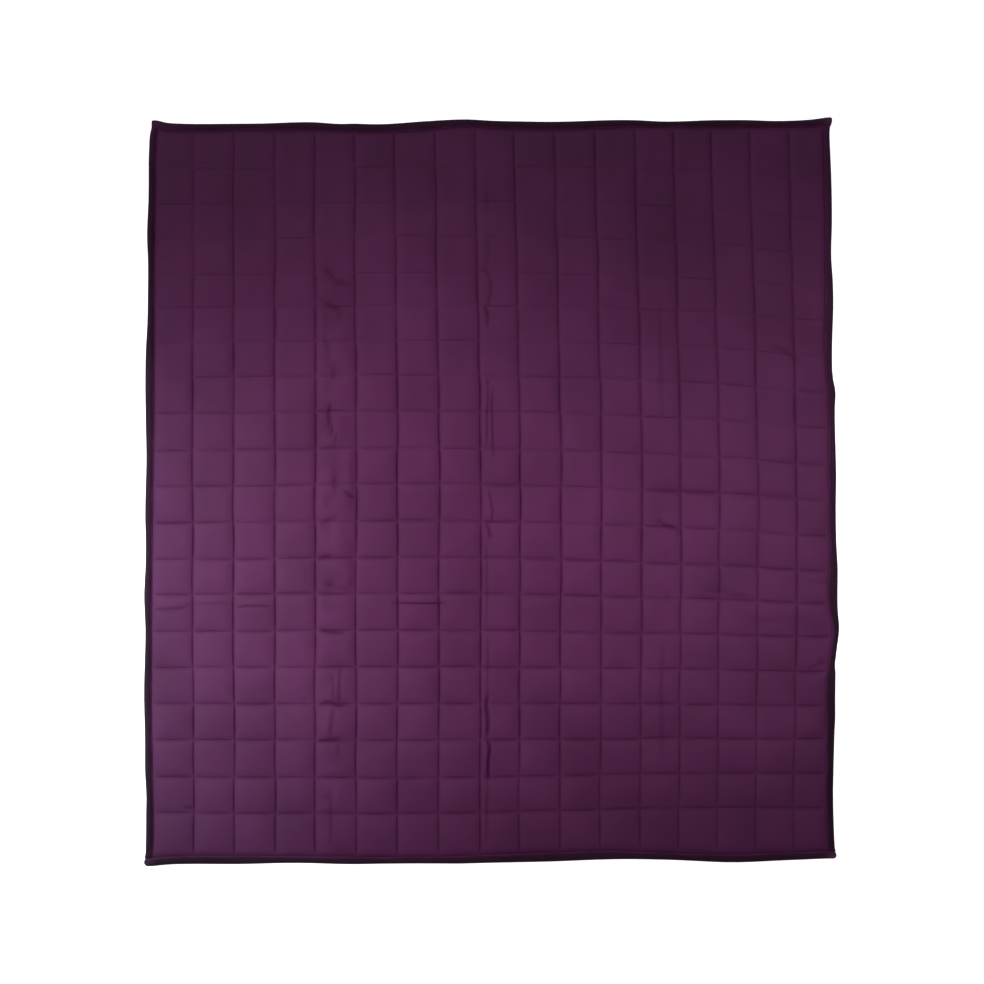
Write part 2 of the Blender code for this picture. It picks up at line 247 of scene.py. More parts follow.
def even_place(u, v):
    """(x, y) of places counted in columns u and rows v, before the rim takes its waves.

    The rows share the height from EVEN_TOP to EVEN_BOTTOM, and sag or rise near the right side.
    The columns share the width between two nearly straight sides, and lean left at the top.
    """
    even_y = EVEN_TOP + share_across(ROW_HEIGHTS, v) * (EVEN_BOTTOM - EVEN_TOP)
    left = table_value(EVEN_LEFT, even_y)
    right = table_value(EVEN_RIGHT, even_y)
    lean = table_value(LEAN, u) * np.maximum(1 - v / LEAN_END_ROW, 0)
    sag = table_value(SAG_DEPTH, v) * table_value(SAG_SHARE, u)
    rise = table_value(RISE_DEPTH, v) * table_value(RISE_SHARE, u)
    x = left + share_across(COLUMN_WIDTHS, u) * (right - left) - lean
    return x, even_y - sag + rise


def blanket_place(u, v):
    """(x, y) of places counted in columns u and rows v.

    Even places, moved sideways in the outermost columns and then up or down in the outermost
    rows, in full at the rim and not at all one pocket in, so that the rim follows its lines.
    """
    x, y = even_place(u, v)
    _, left_y = even_place(np.zeros_like(u), v)
    left_x, _ = even_place(np.zeros_like(u), v)
    right_x, right_y = even_place(np.full_like(u, COLUMNS), v)
    x = x + np.clip(1 - u, 0, 1) * (table_value(LEFT_LINE, left_y) + BINDING_WIDTH - left_x)
    x = x + np.clip(u - COLUMNS + 1, 0, 1) * (
        table_value(RIGHT_LINE, right_y) - BINDING_WIDTH - right_x
    )
    _, top_y = even_place(u, np.zeros_like(v))
    _, bottom_y = even_place(u, np.full_like(v, ROWS))
    y = y + np.clip(1 - v, 0, 1) * (table_value(TOP_LINE, x) - BINDING_WIDTH - top_y)
    y = y + np.clip(v - ROWS + 1, 0, 1) * (
        table_value(BOTTOM_LINE, x) + BINDING_WIDTH - bottom_y
    )
    return x, y


def centre_shift():
    """How far the solids' places lie from the tables' places, from the quilt's lowest corner."""
    rows = np.arange(ROWS + 1.0)
    columns = np.arange(COLUMNS + 1.0)
    left_x, _ = blanket_place(np.zeros_like(rows), rows)
    _, bottom_y = blanket_place(columns, np.full_like(columns, ROWS))
    low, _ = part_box("quilted_body")
    corner = np.array([left_x.min(), bottom_y.min()]) - FLANGE_WIDTH
    return np.array([low.x, low.y]) - corner


SHIFT = centre_shift()


KNOTS = 256  # along each side of the noise's mesh


def soft_noise(x, y, pitch, seed):
    """Smooth random height from -1 to 1: a random value at each knot of a square mesh of that
    pitch, blended between the four knots round a place with an S-shaped weight."""
    knots = np.random.default_rng(seed).uniform(-1, 1, (KNOTS, KNOTS))
    gx, gy = x / pitch + KNOTS / 2, y / pitch + KNOTS / 2
    i, j = np.floor(gx).astype(int), np.floor(gy).astype(int)
    s, t = gx - i, gy - j
    s, t = s * s * (3 - 2 * s), t * t * (3 - 2 * t)
    i, j = i % (KNOTS - 1), j % (KNOTS - 1)
    near = (1 - s) * knots[j, i] + s * knots[j, i + 1]
    far = (1 - s) * knots[j + 1, i] + s * knots[j + 1, i + 1]
    return (1 - t) * near + t * far


def bell(away, reach):
    """Bell curve: 1 at no distance, 0.37 at the reach and nearly nothing at twice that."""
    return np.exp(-((away / reach) ** 2))


# Packing creases and tucks, as troughs in the cloth: half width and depth in mm, how much of the
# depth stands up again as a lip beside it, and the path's points in mm before the centring
CREASES = (
    (4.0, 0.4, 0.0, ((-9, 615), (-7, 593), (-7, 570))),
    (3.5, 0.4, 0.0, ((-7, 525), (-5, 496), (-7, 467))),
    (2.4, 0.5, 0.4, ((-26, 453), (-11, 453), (-1, 436), (-1, 406), (-7, 377))),
    (3.4, 1.1, 0.2, ((-15, 379), (-7, 367), (-7, 342))),
    (2.6, 0.8, 0.0, ((-11, 233), (-5, 221))),
    (2.0, 0.6, 0.5, ((-7, 225), (-7, 188), (-9, 147), (-9, 93))),
    (2.0, 0.6, 0.5, ((3, 217), (1, 180), (3, 139), (3, 106), (5, 69))),
    (2.2, 0.6, 0.4, ((-7, 7), (-1, -17), (3, -42), (-1, -67))),
    (3.2, 1.1, 0.2, ((-11, -61), (-5, -79), (-1, -100))),
    (2.2, 0.5, 0.5, ((-11, -100), (-9, -161), (-9, -223), (-11, -284))),
    (2.4, 0.5, 0.5, ((-9, -293), (-7, -346), (-9, -408))),
    (3.0, 1.5, 0.7, ((-7, -412), (-11, -436), (-7, -469), (-9, -508))),
    (2.8, 1.5, 0.7, ((-9, -506), (-3, -527), (-7, -556), (-7, -595))),
    (3.0, 0.6, 0.3, ((-7, -595), (-9, -634), (-9, -716))),
    (4.2, 1.0, 0.4, ((-356, 455), (-342, 457), (-328, 445), (-315, 428), (-278, 420))),
    (4.2, 1.0, 0.4, ((-358, 397), (-342, 387), (-321, 377), (-299, 367))),
    (6.5, 0.9, 0.0, ((-309, 369), (-311, 344))),
    (4.0, 0.6, 0.3, ((-344, 319), (-336, 301), (-328, 282))),
    (3.6, 0.6, 0.3, ((-326, 266), (-321, 229))),
    (2.2, 1.0, 0.5, ((-330, 184), (-334, 161), (-332, 139), (-326, 120), (-317, 102))),
    (3.6, 0.8, 0.3, ((-321, 36), (-321, 5))),
    (2.2, 1.0, 0.5, ((-303, 3), (-293, -7), (-279, -14))),
    (4.0, 0.6, 0.2, ((-352, -69), (-334, -59), (-315, -52))),
    (4.0, 0.5, 0.2, ((-391, -147), (-383, -165), (-379, -186))),
    (3.2, 0.9, 0.2, ((-358, -141), (-344, -135), (-330, -132))),
    (3.6, 0.9, 0.4, ((-360, -180), (-340, -186), (-321, -196), (-299, -198), (-278, -186))),
    (2.4, 0.7, 0.5, ((-693, -241), (-660, -241), (-632, -239), (-617, -227))),
    (2.0, 0.8, 0.6, ((-525, -239), (-504, -235), (-480, -235), (-451, -235))),
    (3.2, 0.4, 0.0, ((-609, -229), (-570, -231), (-535, -229))),
    (1.8, 0.8, 0.6, ((-208, -228), (-172, -229), (-139, -230), (-90, -228))),
    (3.0, 0.9, 0.2, ((-352, -284), (-328, -289), (-299, -289))),
    (2.6, 0.7, 0.3, ((-309, -354), (-313, -408), (-313, -445))),
    (2.4, 0.6, 0.3, ((-328, -371), (-324, -404), (-324, -432))),
    (3.0, 1.1, 0.3, ((-356, -439), (-336, -432), (-311, -439), (-293, -434))),
    (3.2, 0.8, 0.3, ((-324, -445), (-328, -473), (-332, -504))),
    (3.0, 1.0, 0.3, ((-356, -512), (-332, -510), (-307, -508))),
    (3.0, 0.6, 0.2, ((-315, -515), (-315, -543))),
    (2.4, 0.6, 0.2, ((-387, -422), (-385, -445))),
    (2.8, 0.6, 0.3, ((-332, -613), (-328, -675), (-330, -726))),
    (2.9, 0.9, 0.5, ((336, -52), (350, -67), (371, -73), (391, -85))),
    (6.0, 0.6, 0.0, ((363, 24), (365, 3))),
    (6.0, 0.6, 0.0, ((354, -120), (363, -141))),
    (5.5, 0.5, 0.0, ((356, -198), (365, -231))),
    (3.8, 0.8, 0.4, ((430, -198), (467, -202), (496, -213), (531, -217))),
    (9.0, 1.1, 0.3, ((506, -266), (572, -266), (634, -270), (693, -287))),
    (2.6, 0.4, 0.2, ((642, -184), (691, -184))),
    (3.0, 0.9, 0.3, ((650, -360), (671, -354), (691, -344))),
    (4.0, 0.8, 0.3, ((568, 303), (603, 287), (638, 264))),
    (3.0, 0.9, 0.3, ((-632, -646), (-613, -650))),
    (3.0, 0.6, 0.2, ((32, -287), (54, -282))),
    (7.0, 0.8, 0.1, ((492, -7), (560, -9), (632, -9))),
    (6.0, 0.6, 0.1, ((326, 3), (380, 1), (468, -3))),
    (6.0, 0.6, 0.0, ((-290, -90), (-284, -150), (-290, -215))),
    (6.0, 0.6, 0.0, ((-286, 60), (-282, 20), (-286, -40))),
    (2.4, 0.4, 0.2, ((344, 393), (348, 270), (346, 126))),
    (2.4, 0.4, 0.2, ((350, -305), (348, -428), (350, -551))),
)


# What turns the table's widths and depths into the troughs': more width, more depth, how long a
# crease keeps its depth toward its ends, and how dark its painted shade is for its steepness
CREASE_WIDER, CREASE_DEEPER, CREASE_FADE, CREASE_DARK = 1.2, 1.6, 6, 1.9
LIP_AWAY, LIP_WIDE = 2.2, 1.3  # the lip's distance and width, in the trough's half widths


def distance_to_path(x, y, path_x, path_y):
    """Signed distance from places to a path of straight pieces (left of its direction is
    positive), and how far along it, from 0 to 1, the nearest point lies."""
    path = np.stack([path_x, path_y], axis=1)
    lengths = np.hypot(*np.diff(path, axis=0).T)
    starts = np.concatenate([[0], np.cumsum(lengths)])
    best = np.full(x.shape, np.inf)
    side = np.zeros(x.shape)
    along = np.zeros(x.shape)
    for k, (a, b) in enumerate(zip(path, path[1:])):
        way = (b - a) / lengths[k]
        dx, dy = x - a[0], y - a[1]
        t = np.clip(dx * way[0] + dy * way[1], 0, lengths[k])
        away = np.hypot(dx - t * way[0], dy - t * way[1])
        near = away < best
        best = np.where(near, away, best)
        side = np.where(near, np.sign(way[0] * dy - way[1] * dx), side)
        along = np.where(near, (starts[k] + t) / starts[-1], along)
    return best * side, along


def crease_relief(x, y):
    """Height that the creases add, and their painted shade from 0 to 1: a bell-shaped trough
    across each path, fading to nothing at its ends, with a lower bell beside it as a lip."""
    height = np.zeros(x.shape)
    dark = np.zeros(x.shape)
    for wide, deep, lip, path in CREASES:
        path_x, path_y = np.array(path).T * MM
        reach = 5 * wide * MM  # beyond it the bells are nothing
        near = (x > path_x.min() - reach) & (x < path_x.max() + reach)
        near &= (y > path_y.min() - reach) & (y < path_y.max() + reach)
        away, along = distance_to_path(x[near], y[near], path_x, path_y)
        away /= CREASE_WIDER * wide * MM
        fade = 1 - (2 * along - 1) ** CREASE_FADE
        trough = bell(away, 1)
        beside = lip * bell(away + LIP_AWAY, LIP_WIDE)
        height[near] += CREASE_DEEPER * deep * MM * fade * (beside - trough)
        # painted shade in the trough, darker for a steeper crease
        steep = min(CREASE_DARK * deep / wide, 1)
        dark[near] = np.maximum(dark[near], steep * fade * trough)
    return height, dark


def crumple(u, v, x, y):
    """The crumpled stretch's lumps, from -1 to 1: soft noise under a bell across the stretch,
    which grows from nothing at its top row."""
    middle, wide, top, grows = CRUMPLED
    stretch = bell(u - middle, wide) * np.clip((v - top) / grows, 0, 1)
    return stretch * soft_noise(x, y, CRUMPLE_LUMP, SEEDS["crumple"])


def seam_strength(u, v):
    """How plainly the column seams and the row seams show at a place, 1 in full: the tables'
    values blended between their rows and columns, and made a little uneven along each seam."""
    places = list(COLUMN_SEAMS)
    curves = [np.interp(v, SEAM_ROWS, COLUMN_SEAMS[place]) for place in places]
    column = curves[0]
    for a, b, low, high in zip(places, places[1:], curves, curves[1:]):
        column = np.where(u > a, low + (high - low) * np.clip((u - a) / (b - a), 0, 1), column)
    row = np.interp(v, SEAM_ROWS, ROW_SEAMS)
    share, changes = UNEVEN["column"]
    column = column * (1 + share * soft_noise(u, changes * v, 1.0, SEEDS["column"]))
    share, changes = UNEVEN["row"]
    row = row * (1 + share * soft_noise(changes * u, v, 1.0, SEEDS["row"]))
    return np.clip(column, 0, 1), np.clip(row, 0, 1)


def nearest_seams(u, v):
    """Distances in metres from places to the seams left, right, above and below them."""
    c = np.clip(np.floor(u), 0, COLUMNS - 1).astype(int)
    r = np.clip(np.floor(v), 0, ROWS - 1).astype(int)
    wide = np.array(COLUMN_WIDTHS)[c]
    high = np.array(ROW_HEIGHTS)[r]
    return (u - c) * wide, (1 - u + c) * wide, (v - r) * high, (1 - v + r) * high


def seam_distances(u, v):
    """Distances from places to the nearest column seam and the nearest row seam."""
    left, right, up, down = nearest_seams(u, v)
    return np.minimum(left, right), np.minimum(up, down)


def face_height(u, v, x, y):
    """Height of the quilt's face.

    From seam to seam a pocket's height is one less two terms. The first is a falling exponential
    from each seam, for the stitched groove. The second is a power of the distance from the
    pocket's middle line, for its flat-topped dome. Both are less at a weak seam, and full at the
    rim. The two directions are multiplied. Low cushions fill the crossings, radial puckers leave
    them, and soft lumps, the crumpled stretch and the creases are added.
    """
    left, right, up, down = nearest_seams(u, v)
    column_deep, row_deep = seam_strength(u, v)
    at_sides = np.abs(u - COLUMNS / 2) > (COLUMNS - 1) / 2
    at_ends = np.abs(v - ROWS / 2) > (ROWS - 1) / 2
    column_deep = np.where(at_sides, 1, COLUMN_DEEP[0] + COLUMN_DEEP[1] * column_deep)
    row_deep = np.where(at_ends, 1, ROW_DEEP[0] + ROW_DEEP[1] * row_deep)
    power = table_value(DOME, v)

    def rise(first, second, deep, groove):
        share, reach = groove
        walls = np.exp(-first / reach) + np.exp(-second / reach)
        middle = np.abs((first - second) / (first + second)) ** power
        return 1 - deep * (share * walls + (1 - share) * middle)

    c, r = np.floor(u), np.floor(v)
    fill = 1 + FILL_SPREAD * np.sin(2.1 * c + 0.7 * r) * np.cos(1.3 * r - 0.5 * c)
    swell = rise(left, right, column_deep, COLUMN_GROOVE) * rise(up, down, row_deep, ROW_GROOVE)
    z = SEAM_THICK + CROWN_RISE * fill * swell
    from_crossing = np.hypot(*seam_distances(u, v))
    z += CROSSING_RISE * bell(from_crossing, CROSSING_REACH)
    turn = np.arctan2(np.where(up < down, up, -down), np.where(left < right, left, -right))
    # Each crossing's rays are turned by its own random angle
    phase = 6.2 * soft_noise(np.round(u), np.round(v), 0.37, SEEDS["pucker"])
    reach = from_crossing / PUCKER_REACH
    z += PUCKER_RISE * np.cos(PUCKERS * turn + phase) * reach * np.exp(1 - reach) * swell
    z += LUMP_RISE * soft_noise(x, y, LUMP_WIDTH, SEEDS["lump"]) * swell
    z += CRUMPLE_HEIGHT * crumple(u, v, x, y) * swell
    return z + crease_relief(x, y)[0] * np.sqrt(np.clip(swell, 0, 1))


def face_shade(u, v, x, y):
    """Painted shade: how much darker the cloth is made in a seam or a crease, from 0 to 1.

    Each seam and crease gets a narrow bell-shaped band of painted shade, and seams fade where
    they cross. The top and bottom strips get a wider band of painted shadow beside them, and the
    crumpled stretch painted shade in its hollows. What is left light is multiplied.
    """
    across, along = seam_distances(u, v)
    column, row = seam_strength(u, v)
    inside = np.clip(np.minimum(u, COLUMNS - u) / SHADE_START, 0, 1)
    inside *= np.clip(np.minimum(v, ROWS - v) / SHADE_START, 0, 1)
    light = np.ones(u.shape)
    for kind, plain, away, past in (("column", column, across, along), ("row", row, along, across)):
        fading, fade_reach = CROSSING_FADE[kind]
        plain = plain * (1 - fading * bell(past, fade_reach))
        dark, reach = SEAM_SHADE[kind]
        light *= 1 - dark * plain * inside * bell(away, reach)
    # painted shadow of the top and bottom strips on the cloth beside them
    from_top, from_bottom = v * ROW_HEIGHTS[0], (ROWS - v) * ROW_HEIGHTS[-1]
    for side, away in (("top", from_top), ("bottom", from_bottom)):
        dark, reach = RIM_SHADE[side]
        light *= 1 - dark * bell(away, reach)
    # painted shade in the crumpled stretch's hollows
    light *= 1 - CRUMPLE_SHADE * np.maximum(-crumple(u, v, x, y), 0)
    return 1 - light * (1 - crease_relief(x, y)[1])


def pull_corners(points):
    """Moves points near the four corners outwards: the pull sideways fades as a bell along the
    side and inwards from it, and the pull up or down likewise along the end."""
    x, y = points[..., 0] - SHIFT[0], points[..., 1] - SHIFT[1]
    moved = points.copy()
    x, y = x / MM, y / MM
    for (pull_x, at_y, along_y), (pull_y, at_x, along_x), corner, _ in EARS.values():
        sideways = bell(y - at_y, along_y) * bell(x - corner[0], EAR_DEPTH)
        up_or_down = bell(x - at_x, along_x) * bell(y - corner[1], EAR_DEPTH)
        moved[..., 0] += pull_x * MM * sideways
        moved[..., 1] += pull_y * MM * up_or_down
    return moved


def back_height(u, v, *_):
    """Height of the quilt's back: flat where the pockets rest, lifted in a bell along the seams."""
    return BACK_LIFT * bell(np.minimum(*seam_distances(u, v)), BACK_LIFT_REACH)


def back_shade(u, v, *_):
    """Painted shade on the back: how much darker the cloth is made beside a seam, a bell across it.
    """
    dark, reach = SEAM_SHADE["back"]
    return dark * bell(np.minimum(*seam_distances(u, v)), reach)


def seam_vectors(u, v, shade):
    """Each point's distances from the nearest column seam and row seam, and its painted shade."""
    return np.stack([*seam_distances(u, v), shade], axis=-1).reshape(-1, 3)


def grid_lines(sizes, steps, back_steps, added):
    """Places of the grid's lines, counted in pockets, and which of them the back has too.

    From both seams of a pocket the lines step inwards by the table's distances to its middle,
    and a pocket with a crease gets more lines between two places.
    """
    lines, back = [], []
    for k, size in enumerate(sizes):
        inwards = np.array(steps) * MM / size
        inside = np.concatenate([inwards, [0.5], 1 - inwards[:0:-1]])
        in_back = np.isin(np.array(steps), back_steps)
        both = np.concatenate([in_back, [False], in_back[:0:-1]])
        if k in added:
            start, end, count = added[k]
            more = np.linspace(start, end, count)
            keep = (inside < start - LINES_CLEAR) | (inside > end + LINES_CLEAR) | both
            inside, both = inside[keep], both[keep]
            inside = np.concatenate([inside, more])
            both = np.concatenate([both, np.zeros(count, bool)])
            order = np.argsort(inside)
            inside, both = inside[order], both[order]
        lines.append(k + inside)
        back.append(both)
    lines.append([float(len(sizes))])
    back.append([True])
    return np.concatenate(lines), np.concatenate(back)


def new_piece(name, points, faces, material):
    """One mesh object at the origin from points and faces, shaded smooth."""
    mesh = bpy.data.meshes.new(name)
    mesh.from_pydata(points.reshape(-1, 3).tolist(), [], faces)
    mesh.validate()
    mesh.shade_smooth()
    mesh.materials.append(material)
    piece = bpy.data.objects.new(name, mesh)
    bpy.context.scene.collection.objects.link(piece)
    return piece


def add_vectors(piece, name, vectors):
    """Gives a piece's points a vector attribute, which its material reads."""
    attribute = piece.data.attributes.new(name, "FLOAT_VECTOR", "POINT")
    attribute.data.foreach_set("vector", vectors.astype(np.float32).ravel())


def grid_quads(numbers):
    """Quads between neighbouring lines of a grid of point numbers, facing up if the second
    axis runs along +X and the first along -Y."""
    a, b = numbers[:-1, :-1], numbers[:-1, 1:]
    c, d = numbers[1:, 1:], numbers[1:, :-1]
    return np.stack([d, c, b, a], axis=-1).reshape(-1, 4)


def rim_numbers(numbers):
    """Point numbers round a grid's rim, clockwise from its top left, each once."""
    return np.concatenate(
        [numbers[0, :-1], numbers[:-1, -1], numbers[-1, :0:-1], numbers[:0:-1, 0]]
    )


def with_flange(lines):
    """The grid's lines with one more at each end, for the flange inside the binding."""
    return np.concatenate([lines[:1], lines, lines[-1:]])


def quilt_points(u_lines, v_lines, height, shading):
    """Points of the grid that two sets of lines make, flange included, and their seam vectors.
    The outermost line on each side is a copy of its neighbour, moved out by the flange's width."""
    u, v = np.meshgrid(with_flange(u_lines), with_flange(v_lines))
    x, y = blanket_place(u, v)
    inside = np.clip(np.minimum(np.minimum(u, COLUMNS - u), np.minimum(v, ROWS - v)), 0, 1)
    x = x + SEAM_STRAY[0] * inside * soft_noise(u, v + 0.5, 1.0, SEEDS["stray_x"])
    y = y + SEAM_STRAY[1] * inside * soft_noise(u + 0.5, v, 1.0, SEEDS["stray_y"])
    z = height(u, v, x, y)
    x[:, 0] -= FLANGE_WIDTH
    x[:, -1] += FLANGE_WIDTH
    y[0] += FLANGE_WIDTH
    y[-1] -= FLANGE_WIDTH
    vectors = seam_vectors(u, v, shading(u, v, x, y))
    return pull_corners(np.stack([x + SHIFT[0], y + SHIFT[1], z], axis=-1)), vectors


def build_quilt(material):
    """The filled quilt as one closed mesh: the face's fine grid, the back's coarser grid on
    some of the same lines, and a narrow wall of triangles that joins their rims. Returns it
    with the paths of its column seams and of its row seams, which are lines of the face."""
    u_lines, u_back = grid_lines(COLUMN_WIDTHS, COLUMN_STEPS, BACK_COLUMN_STEPS, CREASE_COLUMNS)
    v_lines, v_back = grid_lines(ROW_HEIGHTS, ROW_STEPS, BACK_ROW_STEPS, CREASE_ROWS)
    face, face_vectors = quilt_points(u_lines, v_lines, face_height, face_shade)

    def level_rim(points, height):
        points[[0, 1, -2, -1], :, 2] = height
        points[:, [0, 1, -2, -1], 2] = height

    level_rim(face, SEAM_THICK)
    back, back_vectors = quilt_points(u_lines[u_back], v_lines[v_back], back_height, back_shade)
    level_rim(back, FLANGE_UNDER)
    face_numbers = np.arange(face[..., 0].size).reshape(face.shape[:2])
    back_numbers = np.arange(back[..., 0].size).reshape(back.shape[:2]) + face_numbers.size
    quads = np.concatenate([grid_quads(face_numbers), grid_quads(back_numbers)[:, ::-1]])
    face_rim = rim_numbers(face_numbers)
    back_rim = rim_numbers(back_numbers)
    on_back = np.zeros(face_numbers.shape, bool)
    on_back[np.ix_(*(np.pad(kept, 1, constant_values=True) for kept in (v_back, u_back)))] = True
    shared = np.flatnonzero(rim_numbers(on_back))
    count = len(face_rim)
    k = np.arange(count)
    under = back_rim[np.searchsorted(shared, k, side="right") - 1]
    upper = np.stack([face_rim, face_rim[(k + 1) % count], under], axis=1)
    after = np.roll(back_rim, -1)
    lower = np.stack([back_rim, face_rim[np.roll(shared, -1)], after], axis=1)
    triangles = np.concatenate([upper, lower])
    points = np.concatenate([face.reshape(-1, 3), back.reshape(-1, 3)])
    piece = new_piece("quilt", points, quads.tolist() + triangles.tolist(), material)
    vectors = np.concatenate([face_vectors, back_vectors])
    add_vectors(piece, "seam_away_and_shade", vectors)
    column_seams = [face[2:-2, 1 + k] for k in np.flatnonzero(u_lines % 1 == 0)[1:-1]]
    row_seams = [face[1 + k, 2:-2] for k in np.flatnonzero(v_lines % 1 == 0)[1:-1]]
    return piece, column_seams, row_seams


# Binding strips

# A strip's cut end: places outwards from the quilt's edge seam and up, from its inner edge over
# the roll and back under the flange, which lies in the slot of the last points
BINDING_SECTION = np.array([
    (GAP, SEAM_THICK + GAP),
    (GAP + 0.1 * MM, SEAM_THICK + GAP + 0.35 * BINDING_THICK),
    (1.1 * MM, SEAM_THICK + GAP + 0.75 * BINDING_THICK),
    (2.2 * MM, 5.00 * MM),
    (3.4 * MM, 5.65 * MM),
    (5.2 * MM, 6.35 * MM),
    (7.4 * MM, 6.72 * MM),
    (9.6 * MM, 6.75 * MM),
    (11.4 * MM, 6.30 * MM),
    (12.8 * MM, 5.45 * MM),
    (13.8 * MM, 4.30 * MM),
    (14.4 * MM, 3.05 * MM),
    (14.3 * MM, 1.80 * MM),
    (13.5 * MM, 0.75 * MM),
    (12.0 * MM, 0.10 * MM),
    (9.0 * MM, 0),
    (GAP, 0),
    (GAP, BINDING_THICK),
    (FLANGE_WIDTH + GAP, BINDING_THICK),
    (FLANGE_WIDTH + GAP, SEAM_THICK + GAP),
])
ROLLED = slice(3, 14)  # those of its points that may move with the cloth's unevenness
OUTSIDE = slice(3, 16)  # those that may reach further out
STRIP_RINGS = {"top": 400, "bottom": 400, "left": 429, "right": 429}  # 3.5 mm apart
SWELLS = ((0.35, 0.055), (0.20, 0.016))  # how much a strip swells, and the length of a swell
SWELL_HIGH = 0.30  # of its height
WANDER, WANDER_LENGTH = 0.4 * MM, 0.08  # of its edge
GATHER_SLANT = 0.6
END_ROUND = 4 * MM  # radius of a through strip's rounded ends, seen from above


def strip_rings(side, path, outward):
    """Rings of a binding strip: its section stood at each point of the path, its rolled part
    reaching further out as the side's table says, and swelling and thinning in slanted gathers
    by soft noise."""
    way = 0 if side in ("top", "bottom") else 1
    more = table_value(STRIP_MORE[side], path[:, way] / MM)
    path = path + SHIFT
    along = np.concatenate([[0], np.cumsum(np.hypot(*np.diff(path, axis=0).T))])
    out, high = (np.tile(part, (len(path), 1)) for part in BINDING_SECTION.T)
    weight = np.zeros(len(BINDING_SECTION))
    weight[ROLLED] = np.sin(np.linspace(0.25, np.pi - 0.25, len(weight[ROLLED])))
    slant = along[:, None] + GATHER_SLANT * out

    def uneven(length, number):
        return soft_noise(slant, 0 * slant, length, SEEDS[side] + number)

    swell = sum(share * uneven(length, k) for k, (share, length) in enumerate(SWELLS))
    high = high * (1 + SWELL_HIGH * weight * swell)
    outer = np.zeros(len(BINDING_SECTION))
    outer[OUTSIDE] = (BINDING_SECTION[OUTSIDE, 0] / BINDING_WIDTH) ** 2
    out = out + outer * more[:, None] * MM + weight * WANDER * uneven(WANDER_LENGTH, len(SWELLS))
    x = path[:, :1] + out * outward[0]
    y = path[:, 1:] + out * outward[1]
    return np.stack([x, y, high], axis=-1)


def rounded_end(ring, end, outward):
    """Rings that close a strip with a round outer corner: six steps of a quarter circle along
    the end's direction, each ring drawn in from its outer side by as much as the circle falls,
    and sinking to half its height at the tip."""
    out = ring @ np.array([*outward, 0])
    inner = out.min()
    share = ((out - inner) / np.ptp(out))[:, None]
    turn = np.linspace(0, np.pi / 2, 7)[1:, None, None]
    drawn = (1 - np.cos(turn)) * END_ROUND
    way_out = np.array([*outward, 0])
    rings = ring - drawn * share * way_out + np.sin(turn) * END_ROUND * np.array([*end, 0])
    rings[..., 2] *= 1 - 0.5 * drawn[..., 0] / END_ROUND
    return rings


def tube_faces(rings, around):
    """Quads between neighbouring closed rings of points, as numbers."""
    numbers = np.arange(rings * around).reshape(rings, around)
    after = np.roll(numbers, -1, axis=1)
    quads = np.stack([numbers[:-1], after[:-1], after[1:], numbers[1:]], axis=-1)
    return quads.reshape(-1, 4)


def finish_strip(side, rings, material):
    """One closed strip from its rings, flat at both ends, with a vector attribute: its place
    across the strip from 0 at the quilt to 1 at the edge, its ear's painted highlight with a little
    rubbing, and how dark it is, as darker cloth and painted shade."""
    count, around = rings.shape[:2]
    name = "binding_roll_" + side
    rings = pull_corners(rings)
    first = np.arange(around)
    faces = tube_faces(count, around).tolist()
    faces += [first.tolist(), (first + (count - 1) * around).tolist()]
    piece = new_piece(name, rings, faces, material)
    face_outwards(piece)
    start = STRIP_STARTS[side]
    across = (BINDING_SECTION[:, 0] / BINDING_WIDTH - start) / (1 - start)
    across = np.broadcast_to(across, (count, around))
    ear_highlight = np.zeros((count, around))
    for _, _, corner, ear_light in EARS.values():
        away = np.linalg.norm(rings[..., :2] - SHIFT - np.array(corner) * MM, axis=-1)
        ear_highlight = np.maximum(ear_highlight, ear_light * bell(away, EAR_HIGHLIGHT_REACH))
    way = 0 if side in ("top", "bottom") else 1
    # darker cloth and painted shade over the roll
    dark = np.interp((rings[..., way] - SHIFT[way]) / MM, *STRIP_DARK_AND_SHADE[side])
    add_vectors(piece, "strip_place", np.stack([across, ear_highlight, dark], axis=-1))
    return piece


def face_outwards(piece):
    """Turns a closed piece's faces outwards."""
    bm = bmesh.new()
    bm.from_mesh(piece.data)
    bmesh.ops.recalc_face_normals(bm, faces=bm.faces)
    bm.to_mesh(piece.data)
    bm.free()


def build_through_binding(side, material):
    """Top or bottom strip, rolled round the quilt's flange from corner to corner."""
    row, outward = (0, np.array([0.0, 1.0])) if side == "top" else (ROWS, np.array([0.0, -1.0]))
    reach = BINDING_WIDTH - END_ROUND
    u = np.linspace(0, COLUMNS, STRIP_RINGS[side])
    x, y = blanket_place(u, np.full_like(u, row))
    path = np.stack([x, y], axis=1)
    beyond = np.stack([np.linspace(reach, 0, 5)[:-1], np.zeros(4)], axis=1)
    path = np.concatenate([path[0] - beyond, path, path[-1] + beyond[::-1]])
    rings = strip_rings(side, path, outward)
    left = rounded_end(rings[0], (-1, 0), outward)
    right = rounded_end(rings[-1], (1, 0), outward)
    return finish_strip(side, np.concatenate([left[::-1], rings, right]), material)


def build_side_binding(side, material):
    """Left or right strip, rolled round the flange and butted between the other two strips."""
    column, outward = (0, np.array([-1.0, 0])) if side == "left" else (COLUMNS, np.array([1.0, 0]))
    v = np.linspace(0, ROWS, STRIP_RINGS[side])
    path = np.stack(blanket_place(np.full_like(v, column), v), axis=1)
    return finish_strip(side, strip_rings(side, path, outward), material)


# Sewing thread

STITCH = 5 * MM  # from one needle hole to the next, as long as a quilter's
THREAD_RADIUS = 0.3 * MM
# Within a stitch: the share of its length, and how high the thread's middle is over the cloth
STITCH_SHARES = np.array([0.0, 0.22, 0.50, 0.78])
STITCH_HEIGHTS = np.array([-0.45, 0.12, 0.22, 0.12]) * MM


